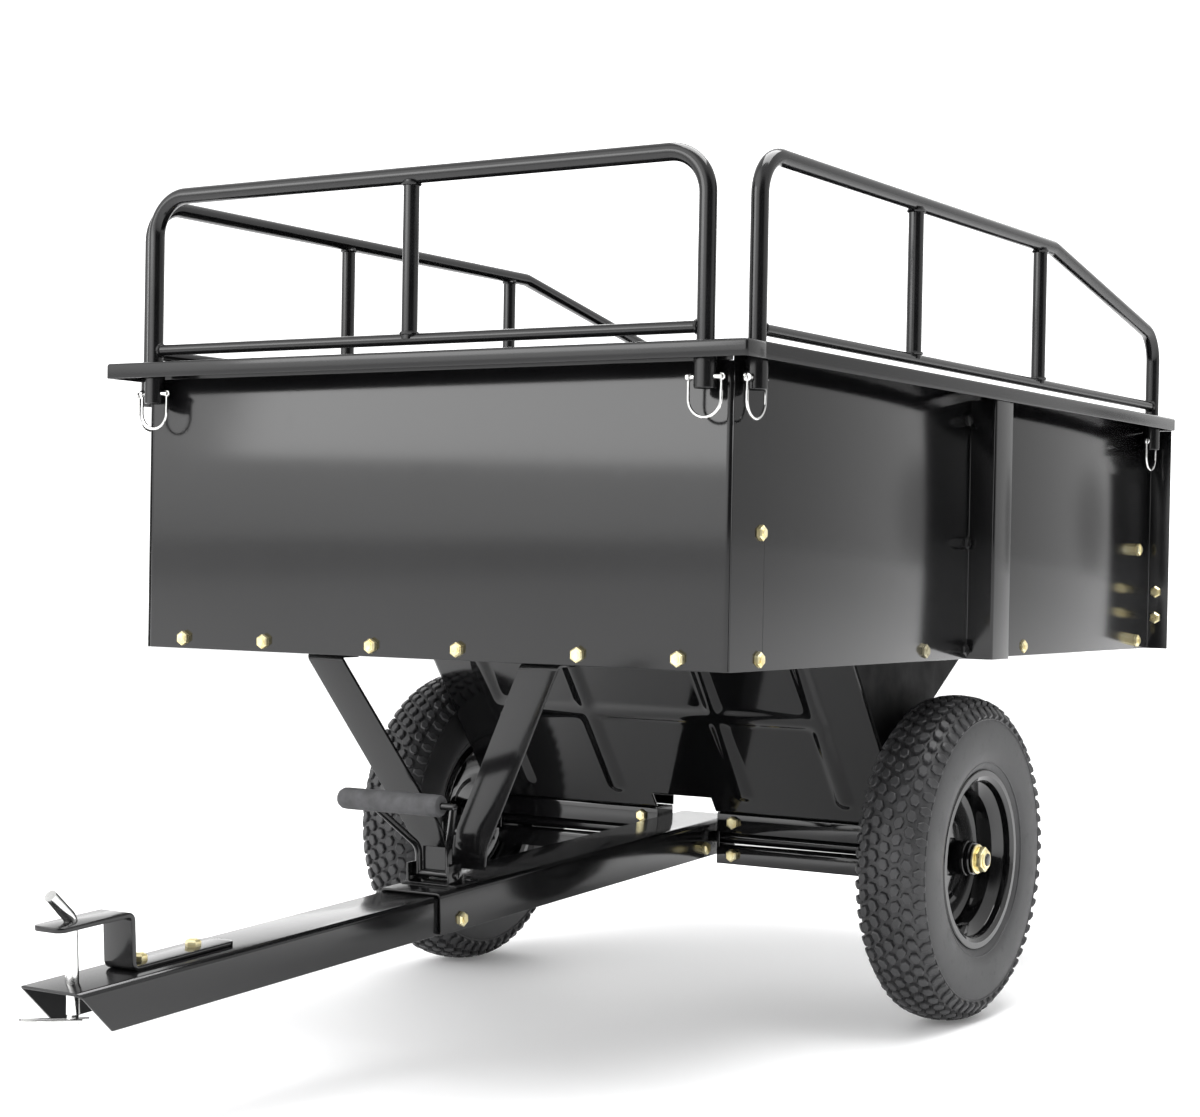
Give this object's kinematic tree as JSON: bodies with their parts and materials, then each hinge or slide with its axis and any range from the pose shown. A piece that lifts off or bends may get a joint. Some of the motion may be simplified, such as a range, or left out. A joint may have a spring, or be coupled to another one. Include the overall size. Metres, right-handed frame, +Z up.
{
  "type": "tow behind cart",
  "caption": "Steel dump cart towed behind a garden tractor: tilting bed with flanged rim, bent tube rails, drawbar with hitch pin, latch handle and pneumatic wheels.",
  "frame": {"origin": "centre of the footprint box at ground level", "axes": "+Z up, the hitch end towards -Y, the wheel axle along X"},
  "size_m": [0.874, 1.8093, 0.9945],
  "materials": {
    "coated_steel": "satin black powder coat",
    "pressed_steel": "gloss black enamel",
    "tube_steel": "satin black powder coat on bent tube",
    "zinc_bolts": "yellow zinc plate",
    "plated_steel": "bright zinc plate",
    "tyre_rubber": "moulded rubber",
    "foam_grip": "dull foam rubber"
  },
  "bodies": {
    "drawbar": {"drawbar": "coated_steel", "drawbar_sleeve": "coated_steel", "hitch_strap": "coated_steel", "drawbar_bolts": "zinc_bolts", "axle": "coated_steel", "axle_nuts": "zinc_bolts", "latch_stand": "coated_steel"},
    "bed": {"floor_front": "coated_steel", "floor_rear": "coated_steel", "floor_seam": "coated_steel", "front_panel": "coated_steel", "side_front_left": "coated_steel", "side_front_right": "coated_steel", "side_rear_left": "coated_steel", "side_rear_right": "coated_steel", "mid_post_left": "coated_steel", "mid_post_right": "coated_steel", "rear_post_left": "coated_steel", "rear_post_right": "coated_steel", "rim_front": "coated_steel", "rim_left": "coated_steel", "rim_right": "coated_steel", "rail_sockets": "tube_steel", "hoop_front": "tube_steel", "hoop_left": "tube_steel", "hoop_right": "tube_steel", "bars_front": "tube_steel", "bars_left": "tube_steel", "bars_right": "tube_steel", "pedestal_front": "pressed_steel", "pedestal_rear": "pressed_steel", "gusset_left": "pressed_steel", "gusset_right": "pressed_steel", "saddle_left": "pressed_steel", "saddle_right": "pressed_steel", "brace_left": "coated_steel", "brace_right": "coated_steel", "brace_foot": "coated_steel", "front_bolts": "zinc_bolts", "side_bolts": "zinc_bolts", "saddle_bolts": "zinc_bolts"},
    "tailgate": {"tailgate": "coated_steel"},
    "wheel_left": {"tyre_left": "tyre_rubber", "rim_wheel_left": "pressed_steel", "hub_left": "pressed_steel"},
    "wheel_right": {"tyre_right": "tyre_rubber", "rim_wheel_right": "pressed_steel", "hub_right": "pressed_steel"},
    "latch": {"latch_handle": "tube_steel", "latch_grip": "foam_grip"},
    "hitch_pin": {"hitch_pin": "plated_steel"},
    "hitch_clip": {"hitch_clip": "plated_steel"},
    "lock_front_left": {"lock_front_left": "plated_steel"},
    "lock_front_right": {"lock_front_right": "plated_steel"},
    "lock_left_front": {"lock_left_front": "plated_steel"},
    "lock_left_rear": {"lock_left_rear": "plated_steel"},
    "lock_right_front": {"lock_right_front": "plated_steel"},
    "lock_right_rear": {"lock_right_rear": "plated_steel"}
  },
  "joints": [
    {"name": "bed_tilt", "type": "hinge", "parent": "drawbar", "child": "bed", "pos_m": [0, 0.26765, 0.203], "axis": [-1, 0, 0], "range_deg": [0, 36]},
    {"name": "tailgate_lift", "type": "slide", "parent": "bed", "child": "tailgate", "axis": [0, 0, 1], "range_m": [0, 0.335]},
    {"name": "wheel_left_spin", "type": "hinge", "parent": "drawbar", "child": "wheel_left", "pos_m": [0.3745, 0.26765, 0.203], "axis": [1, 0, 0], "continuous": true},
    {"name": "wheel_right_spin", "type": "hinge", "parent": "drawbar", "child": "wheel_right", "pos_m": [-0.3745, 0.26765, 0.203], "axis": [1, 0, 0], "continuous": true},
    {"name": "latch_press", "type": "hinge", "parent": "drawbar", "child": "latch", "pos_m": [0, -0.31349, 0.20949], "axis": [1, 0, 0], "range_deg": [0, 35], "stiffness_Nm_per_rad": 0.6, "springref_deg": -34.38},
    {"name": "hitch_pin_lift", "type": "slide", "parent": "drawbar", "child": "hitch_pin", "axis": [0, -0.0523, 0.9986], "range_m": [0, 0.025]},
    {"name": "hitch_clip_pull", "type": "slide", "parent": "hitch_pin", "child": "hitch_clip", "axis": [-0.8192, -0.5728, -0.03], "range_m": [0, 0.03]},
    {"name": "lock_front_left_swing", "type": "hinge", "parent": "bed", "child": "lock_front_left", "pos_m": [0.377, -0.37535, 0.754], "axis": [-1, 0, 0], "range_deg": [0, 90]},
    {"name": "lock_front_right_swing", "type": "hinge", "parent": "bed", "child": "lock_front_right", "pos_m": [-0.377, -0.37535, 0.754], "axis": [-1, 0, 0], "range_deg": [0, 90]},
    {"name": "lock_left_front_swing", "type": "hinge", "parent": "bed", "child": "lock_left_front", "pos_m": [0.417, -0.33935, 0.754], "axis": [0, -1, 0], "range_deg": [0, 90]},
    {"name": "lock_left_rear_swing", "type": "hinge", "parent": "bed", "child": "lock_left_rear", "pos_m": [0.417, 0.84565, 0.754], "axis": [0, -1, 0], "range_deg": [0, 90]},
    {"name": "lock_right_front_swing", "type": "hinge", "parent": "bed", "child": "lock_right_front", "pos_m": [-0.417, -0.33935, 0.754], "axis": [0, 1, 0], "range_deg": [0, 90]},
    {"name": "lock_right_rear_swing", "type": "hinge", "parent": "bed", "child": "lock_right_rear", "pos_m": [-0.417, 0.84565, 0.754], "axis": [0, 1, 0], "range_deg": [0, 90]}
  ]
}
